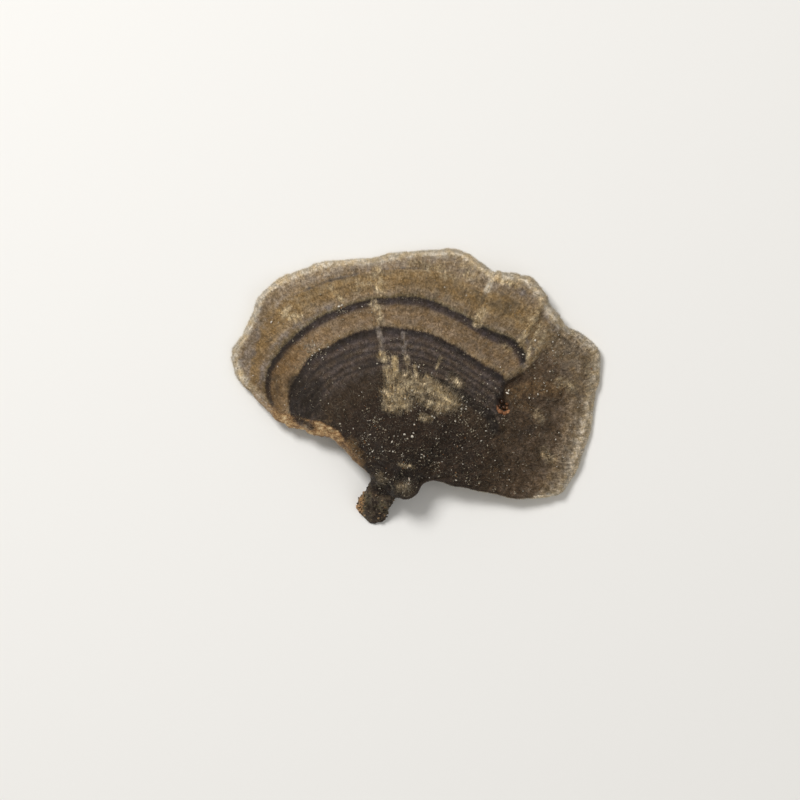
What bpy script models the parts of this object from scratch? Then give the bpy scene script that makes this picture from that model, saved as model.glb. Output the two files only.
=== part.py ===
"""One dried turkey tail bracket, a two-lobed fan with the stub it grew from, lying on its pore side.

The bracket is one natural growth, so it is one closed solid. Its plan outline and the heights of its
mid-surface are read as real sizes; the upper and lower faces stand half a thickness off that surface.
+X is to the right across the fan, +Y runs from the stub to the growing margin, +Z is up.
All lengths below are in millimetres until they become vertices.
"""

import math

import bmesh
import bpy
import numpy as np
from mathutils import Matrix, Vector

MM = 0.001

# Thickness of the flesh
MARGIN_THICKNESS = 1.7
MIDDLE_THICKNESS = 2.5
BASE_THICKNESS = 5.2
BASE_POINT = (-3.5, -20.0)
BASE_SPREAD = 8.5

# Grid of the cap: spokes round the outline, and rings from the rounded rim to the hub
CURVE_STEPS = 24
SPOKES = 124
RIM_ANGLES_DEG = (30, 62, 88)
RING_SHARES = (0.91, 0.81, 0.71, 0.61, 0.51, 0.41, 0.31, 0.21, 0.11)
HUB = (3.3, -4.5)

# Cap margin, clockwise from the base knob: x, y, height of the mid-surface
MARGIN = [
    (-1.7, -26.6, 6.4), (-4.6, -26.0, 6.6), (-8.0, -23.3, 6.8), (-11.1, -20.3, 6.8), (-14.7, -16.8, 6.4),
    (-17.4, -12.9, 6.0), (-21.5, -10.3, 5.2), (-26.0, -8.9, 4.5), (-30.3, -7.5, 3.7), (-34.1, -4.4, 2.6),
    (-37.9, -0.6, 1.8), (-40.4, 2.7, 1.2), (-41.5, 5.7, 0.9), (-41.2, 8.6, 0.95), (-39.0, 12.0, 1.3),
    (-37.2, 15.6, 1.7), (-35.9, 18.9, 1.9), (-34.1, 21.9, 1.8), (-30.5, 24.4, 1.4), (-25.5, 26.7, 1.0),
    (-21.0, 28.2, 0.9), (-15.9, 29.0, 0.9), (-9.8, 29.4, 1.0), (-3.5, 30.6, 1.2), (2.1, 31.1, 1.4),
    (7.8, 31.2, 1.6), (11.4, 30.6, 1.8), (13.2, 28.6, 2.0), (15.6, 27.1, 2.6), (17.7, 25.0, 3.5),
    (20.1, 24.9, 4.1), (23.3, 24.8, 4.5), (26.2, 24.5, 4.2), (28.2, 22.1, 3.8), (29.6, 19.1, 3.6),
    (31.8, 16.2, 3.4), (33.4, 13.2, 3.2), (35.4, 12.8, 3.0), (38.4, 10.9, 2.5), (40.8, 8.7, 1.9),
    (41.5, 5.6, 1.4), (41.1, 0.9, 1.0), (40.2, -4.1, 0.9), (39.4, -9.6, 0.9), (37.5, -15.3, 1.0),
    (35.2, -20.8, 1.3), (32.7, -24.1, 1.7), (28.0, -25.8, 2.5), (21.7, -25.9, 3.4), (15.0, -24.7, 4.4),
    (8.2, -23.3, 5.4), (3.5, -22.2, 6.0), (1.4, -23.4, 6.2), (0.3, -25.5, 6.3),
]

# Heights of the mid-surface inside the margin: the crown, the right lobe and the raised blister
CROWN = [
    (-3.5, 9.5, 7.0), (-3.5, -4.6, 9.4), (7.8, -4.5, 9.3), (2.1, -13.8, 10.0), (-3.5, -20.4, 9.0),
    (-8.4, -15.9, 8.8), (-14.7, -2.0, 7.8), (-19.2, -5.3, 6.6), (14.5, -13.5, 8.6), (11.1, 7.2, 7.2),
]
LEFT_FAN = [
    (-26.0, 0.7, 4.8), (-19.2, 12.1, 5.0), (-26.0, 13.4, 3.6), (-32.3, 7.8, 3.0), (-12.5, 17.9, 4.3),
    (-3.5, 21.3, 4.2), (7.8, 19.0, 4.6), (13.4, 21.4, 3.9),
]
BLISTER = [(21.3, 17.6, 6.3), (26.2, 17.7, 5.2), (17.2, 8.4, 6.4), (18.6, 2.1, 7.8)]
RIGHT_LOBE = [
    (25.8, -0.6, 5.8), (29.1, -9.5, 4.8), (24.6, -16.5, 5.4), (34.8, -3.5, 3.0), (32.1, -18.4, 3.0),
    (30.7, 7.2, 4.4), (36.3, 5.1, 3.0), (17.9, -20.5, 6.2),
]

# Cleft where the two lobes met: from the notch in the margin to the hole at its inner end
CLEFT = [(33.6, 13.4), (30.0, 9.5), (26.9, 5.9), (23.7, 2.8), (21.5, 0.2), (19.7, -2.4), (19.5, -6.0)]
CLEFT_DROP = 1.5
CLEFT_HALF_WIDTH = 0.9
CLEFT_REACH = 5.0
# Share of the drop at the notch, and the shares of the line where it is full and where it starts to close
CLEFT_AT_NOTCH = 0.35
CLEFT_FULL_AT = 0.7
CLEFT_CLOSES_AT = 0.92

# Stretches of the margin that touch the table: left of, beyond and right of these lines
LEFT_STRETCH_X = -33.0
FAR_STRETCH_Y = 22.0
FAR_STRETCH_END_X = 5.0
RIGHT_STRETCH_X = 34.0
SETTLING_PASSES = 6

# Stub: centres of its sections, their half widths across and along, from inside the flesh to the cut
STUB = [
    (-3.9, -18.2, 7.6, 4.6, 3.9), (-5.4, -20.4, 6.3, 4.4, 3.8), (-7.2, -23.2, 4.6, 3.8, 3.5),
    (-8.7, -25.9, 2.7, 3.4, 3.4), (-9.6, -27.3, 0.7, 3.6, 3.6), (-9.9, -27.8, -1.2, 3.5, 3.5),
]
STUB_SIDES = 18
STUB_LUMP = 0.11
STUB_TIP = 0.8
SEAM_MERGE = 0.08

# Colour of the dried upper side
UMBER = (0.115, 0.085, 0.058, 1.0)


def smooth_loop(points, count):
    """A closed Catmull-Rom curve through the points, at equal steps along its length."""
    knots = np.array(points, float)
    fine = []
    for i in range(len(knots)):
        before, start, end, after = (knots[(i + k) % len(knots)] for k in (-1, 0, 1, 2))
        for t in np.arange(CURVE_STEPS) / CURVE_STEPS:
            fine.append(
                0.5 * (2 * start + (end - before) * t
                       + (2 * before - 5 * start + 4 * end - after) * t**2
                       + (3 * start - before - 3 * end + after) * t**3)
            )
    fine = np.array(fine + [fine[0]])
    along = np.concatenate([[0], np.cumsum(np.linalg.norm(np.diff(fine[:, :2], axis=0), axis=1))])
    stations = np.linspace(0, along[-1], count, endpoint=False)
    return np.array([np.interp(stations, along, fine[:, k]) for k in range(3)]).T


def thin_plate(spots):
    """The smooth surface through spot heights, as a springy sheet would lie: a function of x and y."""
    spots = np.array(spots, float)

    def bending(gap):
        return np.where(gap > 1e-9, gap**2 * np.log(np.maximum(gap, 1e-9)), 0.0)

    def gaps(xy):
        return np.linalg.norm(xy[:, None, :] - spots[None, :, :2], axis=2)

    count = len(spots)
    plane = np.column_stack([np.ones(count), spots[:, :2]])
    system = np.zeros((count + 3, count + 3))
    system[:count, :count] = bending(gaps(spots[:, :2]))
    system[:count, count:] = plane
    system[count:, :count] = plane.T
    weights = np.linalg.solve(system, np.concatenate([spots[:, 2], np.zeros(3)]))

    def height(xy):
        flat = np.column_stack([np.ones(len(xy)), xy])
        return bending(gaps(xy)) @ weights[:count] + flat @ weights[count:]

    return height


def cleft_step(xy):
    """Rise on the fan's side of the cleft and fall on the lobe's side, fading away from the line."""
    line = np.array(CLEFT)
    best_gap = np.full(len(xy), np.inf)
    side = np.zeros(len(xy))
    along = np.zeros(len(xy))
    runs = len(line) - 1
    for i in range(runs):
        start, run = line[i], line[i + 1] - line[i]
        share = np.clip((xy - start) @ run / (run @ run), 0, 1)
        offset = xy - (start + share[:, None] * run)
        gap = np.linalg.norm(offset, axis=1)
        nearer = gap < best_gap
        best_gap[nearer] = gap[nearer]
        side[nearer] = np.sign(run[0] * offset[nearer, 1] - run[1] * offset[nearer, 0])
        along[nearer] = (i + share[nearer]) / runs
    # The step grows from the notch inwards, and closes again past the hole
    strength = CLEFT_AT_NOTCH + (1 - CLEFT_AT_NOTCH) * np.minimum(along / CLEFT_FULL_AT, 1)
    strength = strength * np.clip((1 - along) / (1 - CLEFT_CLOSES_AT), 0, 1)
    profile = np.tanh(best_gap / CLEFT_HALF_WIDTH) * np.exp(-((best_gap / CLEFT_REACH) ** 2))
    return -side * 0.5 * CLEFT_DROP * strength * profile


def thickness(xy, share):
    """Thickness of the flesh: thin at the margin (share 1), thicker inside, thickest over the stub."""
    inner = MARGIN_THICKNESS + (MIDDLE_THICKNESS - MARGIN_THICKNESS) * (1 - share**4)
    from_base = np.linalg.norm(xy - np.array(BASE_POINT), axis=1)
    return inner + (BASE_THICKNESS - MIDDLE_THICKNESS) * np.exp(-((from_base / BASE_SPREAD) ** 2))


def inward_normals(outline):
    """Unit vectors in plan from each outline point into the cap. The outline runs clockwise."""
    along = np.roll(outline, -1, axis=0) - np.roll(outline, 1, axis=0)
    along /= np.linalg.norm(along, axis=1)[:, None]
    return np.column_stack([along[:, 1], -along[:, 0]])


def cap_rings():
    """Rings of points down over the cap: hub side of the upper face, rim, hub side of the lower face."""
    mid_height = thin_plate(MARGIN + CROWN + LEFT_FAN + BLISTER + RIGHT_LOBE)
    outline = smooth_loop(MARGIN, SPOKES)[:, :2]
    inward = inward_normals(outline)
    rim_half = thickness(outline, np.ones(SPOKES)) / 2
    hub = np.array(HUB)

    def ring(xy, half, sign):
        return np.column_stack([xy, mid_height(xy) + cleft_step(xy) + sign * half])

    upper, lower = [], []
    for degrees in RIM_ANGLES_DEG:
        angle = math.radians(degrees)
        xy = outline + inward * (rim_half * (1 - math.cos(angle)))[:, None]
        upper.append(ring(xy, rim_half * math.sin(angle), +1))
        lower.append(ring(xy, rim_half * math.sin(angle), -1))
        last = xy
    for share in RING_SHARES:
        xy = hub + (last - hub) * share
        half = thickness(xy, np.full(SPOKES, share)) / 2
        upper.append(ring(xy, half, +1))
        lower.append(ring(xy, half, -1))
    tip = ring(outline, np.zeros(SPOKES), 0)
    middle = thickness(hub[None, :], np.zeros(1)) / 2
    hubs = np.concatenate([ring(hub[None, :], middle, sign) for sign in (+1, -1)])
    return upper[::-1] + [tip] + lower, hubs


def on_the_table(rings, hubs):
    """Takes a slight tilt away, so that the left, far and right stretches of the margin touch z = 0."""
    points = np.concatenate(rings)
    stretches = (
        points[:, 0] < LEFT_STRETCH_X,
        (points[:, 1] > FAR_STRETCH_Y) & (points[:, 0] < FAR_STRETCH_END_X),
        points[:, 0] > RIGHT_STRETCH_X,
    )
    plane = np.zeros(3)
    # The lowest point of a stretch can change as the plane is taken away, so it is found again
    for _ in range(SETTLING_PASSES):
        heights = points[:, 2] - (plane[0] + points[:, :2] @ plane[1:])
        lowest = [np.flatnonzero(s)[np.argmin(heights[s])] for s in stretches]
        rows = np.column_stack([np.ones(3), points[lowest, :2]])
        plane = plane + np.linalg.solve(rows, heights[lowest])
    for group in rings + [hubs]:
        group[:, 2] -= plane[0] + group[:, :2] @ plane[1:]
    return rings, hubs


def closed_tube(rings, ends):
    """A bmesh skin over rings of equal count, closed at each end by a fan to one point."""
    skin = bmesh.new()
    loops = [[skin.verts.new(p * MM) for p in ring] for ring in rings]
    count = len(loops[0])
    for first, second in zip(loops, loops[1:]):
        for i in range(count):
            j = (i + 1) % count
            skin.faces.new((first[i], first[j], second[j], second[i]))
    for loop, end in ((loops[0], ends[0]), (loops[-1], ends[1])):
        tip = skin.verts.new(np.array(end) * MM)
        for i in range(count):
            skin.faces.new((loop[i], loop[(i + 1) % count], tip))
    bmesh.ops.recalc_face_normals(skin, faces=skin.faces)
    return skin


def object_of(name, skin):
    mesh = bpy.data.meshes.new(name)
    skin.to_mesh(mesh)
    skin.free()
    thing = bpy.data.objects.new(name, mesh)
    bpy.context.scene.collection.objects.link(thing)
    return thing


def make_cap():
    rings, hubs = on_the_table(*cap_rings())
    return object_of("bracket", closed_tube(rings, hubs))


def make_stub():
    """The gnarled stub: lumpy oval sections down a bent line, running on below the table for the cut."""
    rings = []
    for k, (x, y, z, across, along) in enumerate(STUB):
        ring = []
        for i in range(STUB_SIDES):
            angle = 2 * math.pi * i / STUB_SIDES
            lump = 1 + STUB_LUMP * (math.sin(3 * angle + 1.3 * k) + 0.6 * math.sin(5 * angle - 2.1 * k))
            ring.append((x + across * lump * math.cos(angle), y + along * lump * math.sin(angle), z))
        rings.append(np.array(ring))
    ends = [np.array(STUB[0][:3]) + [0, 0, STUB_TIP], np.array(STUB[-1][:3]) - [0, 0, STUB_TIP]]
    return object_of("stub", closed_tube(rings, ends))


def join_stub(cap, stub):
    """Fuses the stub into the cap, as one growth."""
    fuse = cap.modifiers.new("fuse", "BOOLEAN")
    fuse.operation = "UNION"
    fuse.solver = "EXACT"
    fuse.object = stub
    graph = bpy.context.evaluated_depsgraph_get()
    joined = bpy.data.meshes.new_from_object(cap.evaluated_get(graph))
    cap.modifiers.clear()
    cap.data = joined
    bpy.data.objects.remove(stub)


def cut_off_flat(cap):
    """Cuts the stub flat at z = 0, where the bracket came away, and closes the cut."""
    body = bmesh.new()
    body.from_mesh(cap.data)
    bmesh.ops.remove_doubles(body, verts=body.verts, dist=SEAM_MERGE * MM)
    bmesh.ops.triangulate(body, faces=body.faces)
    whole = body.verts[:] + body.edges[:] + body.faces[:]
    cut = bmesh.ops.bisect_plane(
        body, geom=whole, dist=1e-7, plane_co=(0, 0, 0), plane_no=(0, 0, -1), clear_outer=True
    )
    edges = [e for e in cut["geom_cut"] if isinstance(e, bmesh.types.BMEdge)]
    bmesh.ops.contextual_create(body, geom=edges)
    bmesh.ops.recalc_face_normals(body, faces=body.faces)
    body.to_mesh(cap.data)
    body.free()


def centre_on_origin(cap):
    """Puts the middle of the bounding box's bottom face at the origin."""
    points = np.array([v.co for v in cap.data.vertices])
    low, high = points.min(axis=0), points.max(axis=0)
    middle = Vector(((low[0] + high[0]) / 2, (low[1] + high[1]) / 2, low[2]))
    cap.data.transform(Matrix.Translation(-middle))


def finish(cap):
    material = bpy.data.materials.new("dried_bracket")
    material.use_nodes = True
    skin = material.node_tree.nodes["Principled BSDF"]
    skin.inputs["Base Color"].default_value = UMBER
    skin.inputs["Roughness"].default_value = 0.9
    skin.inputs["Metallic"].default_value = 0.0
    cap.data.materials.append(material)
    cap.data.shade_smooth()


def main():
    for thing in list(bpy.data.objects):
        bpy.data.objects.remove(thing)
    cap = make_cap()
    join_stub(cap, make_stub())
    cut_off_flat(cap)
    centre_on_origin(cap)
    finish(cap)


main()
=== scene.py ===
"""The looks of one dried turkey tail bracket, lying on its pore side on a plain pale table.

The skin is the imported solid, remeshed finely and shaped: growth furrows, wrinkles, the cleft between
its two lobes and the lumpy stub. Over it lie a nap of short hairs, dust grains and crumbs.
+X is to the right across the fan, +Y runs from the stub to the growing margin, +Z is up.
Lengths are in millimetres until they become vertices.
"""

import itertools
import math

import bpy
import numpy as np
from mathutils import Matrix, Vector, kdtree


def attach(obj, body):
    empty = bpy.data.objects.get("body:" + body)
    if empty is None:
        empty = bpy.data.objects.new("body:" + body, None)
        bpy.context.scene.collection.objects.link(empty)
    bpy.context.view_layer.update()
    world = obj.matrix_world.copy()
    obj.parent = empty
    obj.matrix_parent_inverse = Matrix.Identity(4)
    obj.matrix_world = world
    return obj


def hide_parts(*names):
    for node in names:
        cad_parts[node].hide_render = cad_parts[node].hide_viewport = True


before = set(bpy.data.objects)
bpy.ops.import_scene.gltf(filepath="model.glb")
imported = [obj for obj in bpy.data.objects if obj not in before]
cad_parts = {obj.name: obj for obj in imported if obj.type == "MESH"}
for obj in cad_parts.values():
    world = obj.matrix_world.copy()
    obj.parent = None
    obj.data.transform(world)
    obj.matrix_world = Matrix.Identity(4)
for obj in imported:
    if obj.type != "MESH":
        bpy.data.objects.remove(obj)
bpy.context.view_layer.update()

MM = 0.001
BODY = "root"

# Fineness of the skin, and how far it is smoothed
SUBDIVISIONS = 2
SKIN_VOXEL = 0.32
SMOOTHING_PASSES = 6
GROOVE_REACH = 3.2
GROOVE_PASSES = 110

# Where the bracket grew from, seen from above: the growth bands are arcs round it
ORIGIN = (-3.5, -22.7)

# Growth lines of the fan, from its left end to the cleft, and each line's place in the growth from 0 to 1
INNER_LINE = [
    (-22.5, -9.0), (-21.5, -6.0), (-18.0, -2.5), (-12.5, 0.3), (-5.0, 1.7), (2.1, 1.3),
    (3.7, 0.6), (7.1, -1.2), (9.3, -2.8), (11.4, -4.5), (14.5, -6.7), (16.8, -8.2), (18.3, -10.9),
]
SECOND_LINE = [
    (-27.7, -7.3), (-28.5, -3.9), (-28.2, -1.6), (-27.3, 0.6), (-25.5, 3.5), (-23.3, 6.2), (-19.2, 8.4),
    (-14.7, 10.6), (-10.2, 12.0), (-6.9, 12.4), (1.0, 11.7), (5.5, 10.0), (10.0, 7.0), (14.5, 4.0), (19.0, 1.2),
    (20.6, 0.1),
]
FIRST_LINE = [
    (-32.1, -5.5), (-33.2, -3.6), (-33.6, -1.4), (-33.2, 3.2), (-32.1, 5.4), (-30.5, 7.6), (-28.2, 9.9),
    (-26.0, 12.1), (-21.5, 15.1), (-17.0, 16.9), (-12.5, 18.7), (-8.0, 19.6), (-3.5, 19.5), (1.0, 19.3),
    (5.5, 17.9), (8.9, 16.0), (13.8, 13.3), (16.1, 11.6), (19.0, 10.4), (21.7, 9.4), (23.7, 8.2), (24.6, 6.7),
    (24.5, 4.2),
]
OUTER_LINE = [
    (-38.8, 4.5), (-38.1, 7.5), (-37.2, 10.7), (-33.5, 17.0), (-30.0, 20.2), (-26.0, 22.0), (-20.4, 23.8),
    (-13.6, 25.4), (-6.9, 26.5), (1.0, 26.5), (8.5, 25.6), (14.0, 21.5), (20.0, 20.0), (26.5, 17.5), (29.5, 13.5),
]
LINE_PLACES = (0.0, 0.46, 0.66, 0.80, 0.93, 1.0)

# The fan's share of the turn round the origin, in degrees clockwise from +Y, where the rim is measured
RIM_FROM_DEG, RIM_TO_DEG = -61, 93

# Cleft between the fan and the right lobe, from the notch in the margin to its blind end
CLEFT = [
    (33.8, 13.1), (30.5, 9.8), (28.9, 8.1), (27.3, 5.8), (25.8, 4.1), (24.4, 2.7), (21.7, 0.9), (20.4, 0.1),
    (19.8, -2.4), (19.5, -5.0),
]

# The open end of the cleft: a gap that turns off to the right, and the long pit below it
CLEFT_GAP = [(19.4, -3.6), (19.9, -1.5), (21.7, 0.0), (24.0, 0.8), (26.9, 1.3)]
PIT = [(19.5, -4.8), (19.9, -5.6)]
PIT_RADIUS = 1.75
PIT_DEPTH = 1.45

# The blister beside the cleft: its left flank, and the ridge along its right side
FLANK = [(18.3, 25.0), (17.3, 23.7), (16.5, 22.3), (16.0, 21.0), (15.4, 19.0), (14.3, 16.4), (13.2, 12.7)]
RIDGE = [(29.1, 19.8), (28.0, 18.5), (26.9, 14.9), (25.8, 13.0), (24.4, 10.7), (23.5, 8.8)]

# Lumps of the knob over the stub: x, y, radius, height
KNOB_LUMPS = [
    (-2.7, -24.2, 1.8, 0.95), (-7.6, -21.9, 1.3, 0.70), (-4.6, -24.9, 0.9, 0.40), (-3.3, -22.0, 0.9, -1.10),
    (-1.4, -22.1, 0.9, -1.10), (-3.3, -19.7, 0.55, 0.65), (-1.3, -19.9, 0.5, 0.60), (-6.0, -24.2, 0.8, -0.75),
    (1.6, -22.4, 1.3, -0.80), (-5.4, -20.9, 0.9, -0.70), (0.2, -17.6, 1.1, 0.45), (-7.6, -18.4, 1.0, 0.40),
    (3.8, -18.0, 1.2, -0.45), (-2.3, -20.8, 0.5, -0.45), (-0.9, -24.6, 0.6, -0.35), (-5.9, -18.9, 0.7, -0.35),
]

# Lower left edge of the fan, where the ochre flesh shows; it is rough in its middle part
OCHRE_EDGE = [
    (-38.6, -0.2), (-34.4, -4.2), (-30.6, -7.2), (-26.0, -8.6), (-21.5, -9.5), (-17.5, -12.0), (-12.2, -19.2),
]
# How far its lower lip stands out past its upper one, in mm, at each sixth of that line
# Where a grey-brown film dulls the ochre
OCHRE_DULLED = [(1.1, 0.72, [(-26.6, -8.2), (-23.4, -9.8)])]
OCHRE_LIP = [0.0, 0.7, 1.3, 1.7, 1.9, 1.0, 0.0]

# Marks on the upper face: half width, strength and the line that each one follows.
# Pale ones are tufts and streaks of cream hyphae, a painted highlight along the knob's small ridge, and pale patches on
# two of the knob's lumps.
PALE_MARKS = [
    (1.0, 0.14, [(-8.2, 11.7), (-7.8, 8.4), (-7.4, 6.0)]),
    (0.9, 0.13, [(-2.7, 10.6), (-2.6, 8.6), (-2.2, 5.6)]),
    (0.9, 0.38, [(-2.2, 5.4), (-1.6, 2.0)]),
    (1.2, 0.78, [(-7.6, 5.8), (-6.9, 5.0)]),
    (0.8, 1.20, [(-4.7, 5.0), (-4.5, 1.2)]),
    (1.6, 0.66, [(-6.0, 2.2), (-5.6, 0.4)]),
    (2.3, 0.62, [(-5.6, -2.2), (-5.4, -5.7), (-2.8, -5.4), (-3.2, -2.4)]),
    (0.8, 0.95, [(-3.6, -2.0), (-4.2, -4.2), (-2.6, -6.2)]),
    (2.0, 0.54, [(-3.6, 0.6), (-0.6, -0.4), (2.4, -1.0)]),
    (0.5, 0.60, [(-0.3, 3.4), (0.2, 1.2)]),
    (2.3, 0.68, [(3.6, -1.8), (6.2, -3.4), (8.0, -5.0), (5.4, -5.6)]),
    (1.8, 0.36, [(-0.6, -4.0), (1.6, -4.6)]),
    (0.9, 1.10, [(4.0, -1.8), (5.8, -3.4), (7.4, -5.2)]),
    (1.3, 0.70, [(-1.6, -1.6), (1.2, -2.4)]),
    (1.3, 0.58, [(3.0, -5.6), (5.2, -6.6)]),
    (1.1, 0.56, [(1.6, -8.6), (3.0, -8.8)]),
    (0.5, 0.50, [(5.6, 5.2), (4.7, 2.8)]),
    (0.7, 0.66, [(2.4, 1.0), (3.4, 0.0)]),
    (1.6, 0.36, [(8.2, 0.4), (9.6, -0.8)]),
    (1.5, 0.64, [(-8.6, 26.0), (-7.8, 21.4)]),
    (1.4, 0.44, [(-9.4, 18.2), (-9.0, 16.4)]),
    (1.1, 0.46, [(-1.2, 27.8), (1.0, 27.8)]),
    (1.1, 0.46, [(10.6, 27.2), (12.6, 26.8)]),
    (0.9, 0.50, [(19.4, 8.4), (21.0, 7.2)]),
    (1.0, 0.50, [(-8.4, 17.4), (-8.0, 13.8)]),
    (2.2, 0.40, [(-13.0, 22.4), (-9.6, 23.4)]),
    (1.6, 0.36, [(5.0, 25.8), (8.0, 24.8)]),
    (1.7, 0.66, [(-29.2, 16.4), (-26.8, 15.3)]),
    (0.9, 0.60, [(-19.2, 21.8), (-16.6, 19.0)]),
    (1.3, 0.70, [(14.6, 15.9), (13.9, 13.4)]),
    (1.1, 1.00, [(18.8, 23.6), (20.6, 23.3), (22.4, 22.2)]),
    (1.0, 0.66, [(28.7, 19.0), (26.9, 14.9), (25.8, 13.0), (24.4, 10.7), (23.5, 8.8)]),
    (0.4, 0.62, [(27.8, 12.8), (25.8, 8.6), (25.0, 5.2)]),
    (0.4, 0.52, [(29.6, 12.0), (27.3, 8.0), (26.0, 4.8)]),
    (1.6, 0.36, [(27.0, -7.0), (27.8, -8.2)]),
    (1.7, 0.40, [(28.6, -15.8), (30.2, -17.0)]),
    (1.6, 0.56, [(32.6, 0.4), (35.0, -0.6)]),
    (1.3, 0.42, [(38.8, 5.0), (39.4, 1.0), (38.6, -3.0)]),
    (1.3, 0.55, [(2.0, 26.8), (6.0, 26.6)]),
    (1.3, 0.50, [(11.4, 25.0), (13.4, 24.4)]),
    # Painted highlight along the top of the knob's small ridge, then pale patches on two of the knob's lumps
    (0.4, 0.62, [(-3.6, -19.3), (-2.1, -19.8)]),
    (0.35, 0.60, [(-1.6, -19.3), (-0.4, -19.9)]),
    (1.6, 0.26, [(-3.6, -24.0), (-1.8, -24.3)]),
    (1.3, 0.30, [(-8.0, -21.4), (-7.2, -22.4)]),
]
# Grey ones are worn streaks of an older coat.
GREY_MARKS = [
    (0.9, 0.74, [(-8.2, 11.9), (-7.8, 8.4), (-7.4, 6.0)]),
    (0.8, 0.66, [(-2.7, 10.8), (-2.6, 8.6), (-2.2, 5.0)]),
    (1.4, 0.90, [(-35.6, 12.0), (-37.2, 8.4)]),
    (1.7, 0.90, [(-37.2, 8.0), (-38.8, 3.8), (-38.6, 0.6)]),
    (0.5, 0.90, [(-20.8, 23.5), (-17.5, 24.3), (-13.2, 25.5)]),
    (0.35, 0.60, [(-13.2, 25.5), (-10.2, 26.4), (-3.5, 26.7), (3.0, 26.4)]),
    (0.4, 0.60, [(-27.4, 20.4), (-23.7, 22.0), (-21.4, 22.6)]),
    (1.0, 0.50, [(-26.0, 13.4), (-22.0, 16.2), (-17.6, 18.2)]),
    (1.3, 0.66, [(22.4, 21.0), (25.2, 20.0)]),
    (1.2, 0.56, [(-34.7, -0.6), (-34.3, 3.6), (-31.8, 8.0), (-28.4, 11.6), (-24.8, 14.4)]),
    (1.7, 0.36, [(29.8, 16.0), (31.4, 12.2)]),
    (2.0, 0.40, [(-27.6, 20.9), (-33.0, 16.2), (-36.0, 12.0)]),
    (1.0, 0.50, [(24.6, 9.8), (26.4, 6.4), (23.8, 3.4)]),
]
# Dark ones are stains and the inner growth line, and painted shadow in the knob's hollows, in the crevice at its lower
# right and under its edge over the stub.
DARK_MARKS = [
    (4.5, 0.40, [(7.5, 22.0), (13.5, 19.5), (22.5, 16.8)]),
    (3.0, 0.40, [(32.0, 3.4), (34.0, 2.4)]),
    (2.4, 0.39, [(12.5, 8.4), (16.5, 6.8)]),
    (2.0, 0.39, [(-29.4, 7.5), (-29.4, 3.0)]),
    (0.40, 0.52, [(-24.0, 22.0), (-20.8, 23.3), (-17.5, 24.2), (-13.2, 25.4)]),
    (0.32, 0.44, [(-13.2, 25.4), (-10.2, 26.2), (-3.5, 26.5), (2.0, 26.3)]),
    (0.35, 0.42, [(-20.9, 23.0), (-17.0, 24.2), (-13.0, 25.0)]),
    (0.6, 0.80, [(13.8, 13.3), (16.1, 11.7), (19.0, 10.4), (21.7, 9.4), (23.2, 8.3)]),
    (0.7, 0.80, [(22.7, 8.4), (23.9, 7.2), (24.2, 4.8)]),
    (0.6, 0.95, [(3.3, 0.5), (6.4, -0.4), (9.3, -1.9)]),
    (1.2, 1.30, [(9.0, -1.8), (11.4, -4.2), (14.5, -6.5), (16.8, -8.3), (17.6, -11.0)]),
    (0.9, 0.66, [(-32.3, -4.5), (-33.2, -0.4), (-32.6, 3.4), (-30.0, 6.9), (-26.9, 10.2), (-23.7, 12.7)]),
    (3.0, 0.24, [(9.3, 22.4), (15.0, 20.6)]),
    (3.0, 0.26, [(29.0, 8.0), (33.6, 2.0)]),
    (1.5, 0.60, [(14.5, -6.7), (16.8, -8.2), (18.2, -11.5)]),
    (2.8, 0.95, [(-26.6, 0.0), (-25.2, -6.8)]),
    (1.7, 0.50, [(-23.8, 1.8), (-19.4, 4.4), (-14.0, 6.2)]),
    (3.2, 0.72, [(-22.6, -0.6), (-23.0, -5.4)]),
    (2.0, 0.50, [(-12.5, 2.6), (-9.4, 3.6)]),
    (1.6, 0.40, [(-31.0, 2.0), (-31.0, -4.0)]),
    # The next four are painted shadow: in the crevice at the knob's lower right, in its two hollows, and under its edge
    # where it overhangs the stub.
    (1.8, 0.55, [(0.8, -21.6), (2.6, -23.4)]),
    (1.2, 0.90, [(-3.8, -22.0), (-1.0, -22.2)]),
    (1.0, 0.70, [(-7.6, -25.0), (-5.6, -25.8)]),
    (0.7, 0.60, [(-5.4, -24.0), (-3.2, -25.4)]),
    (3.0, 0.45, [(-12.0, -8.0), (-9.0, -16.0)]),
    (2.6, 0.45, [(8.0, -12.0), (12.0, -17.0)]),
    (1.4, 0.50, [(1.0, -5.0), (2.4, -6.4)]),
    (2.4, 0.50, [(22.5, -11.8), (30.0, -9.4)]),
    (1.4, 0.45, [(17.2, -15.5), (18.8, -19.5)]),
    (2.2, 0.40, [(33.5, 9.5), (35.6, 6.4), (31.5, 4.0)]),
    (0.7, 0.42, [(37.0, 2.8), (36.8, -3.5), (36.3, -10.3), (34.8, -15.4)]),
    (3.4, 0.32, [(19.5, 18.4), (22.6, 15.4)]),
]
# Ochre ones are where the brown coat is thin.
OCHRE_MARKS = [
    (3.6, 0.55, [(-32.0, 14.0), (-35.2, 7.0), (-35.6, 1.0), (-33.0, -3.6)]),
    (3.0, 1.00, [(-27.0, 6.6), (-30.4, 2.0), (-30.8, -3.6)]),
    (1.6, 0.90, [(-38.4, -0.6), (-34.6, -4.0), (-31.4, -6.4)]),
    (2.2, 0.45, [(-22.0, 19.4), (-12.0, 23.2), (4.0, 23.4), (11.0, 20.4)]),
    (3.6, 0.30, [(18.6, 19.6), (20.6, 14.6), (22.8, 17.4)]),
    (1.8, 0.35, [(-19.4, -4.8), (-19.6, -8.4)]),
    (3.0, 0.60, [(21.6, -2.6), (26.0, -1.0), (32.0, -1.5)]),
    (2.0, 0.50, [(22.5, -5.0), (25.5, -5.6)]),
    (1.8, 0.60, [(-14.4, -13.6), (-12.0, -18.0)]),
    (1.6, 0.45, [(4.0, -6.4), (6.0, -7.0)]),
]

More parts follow.
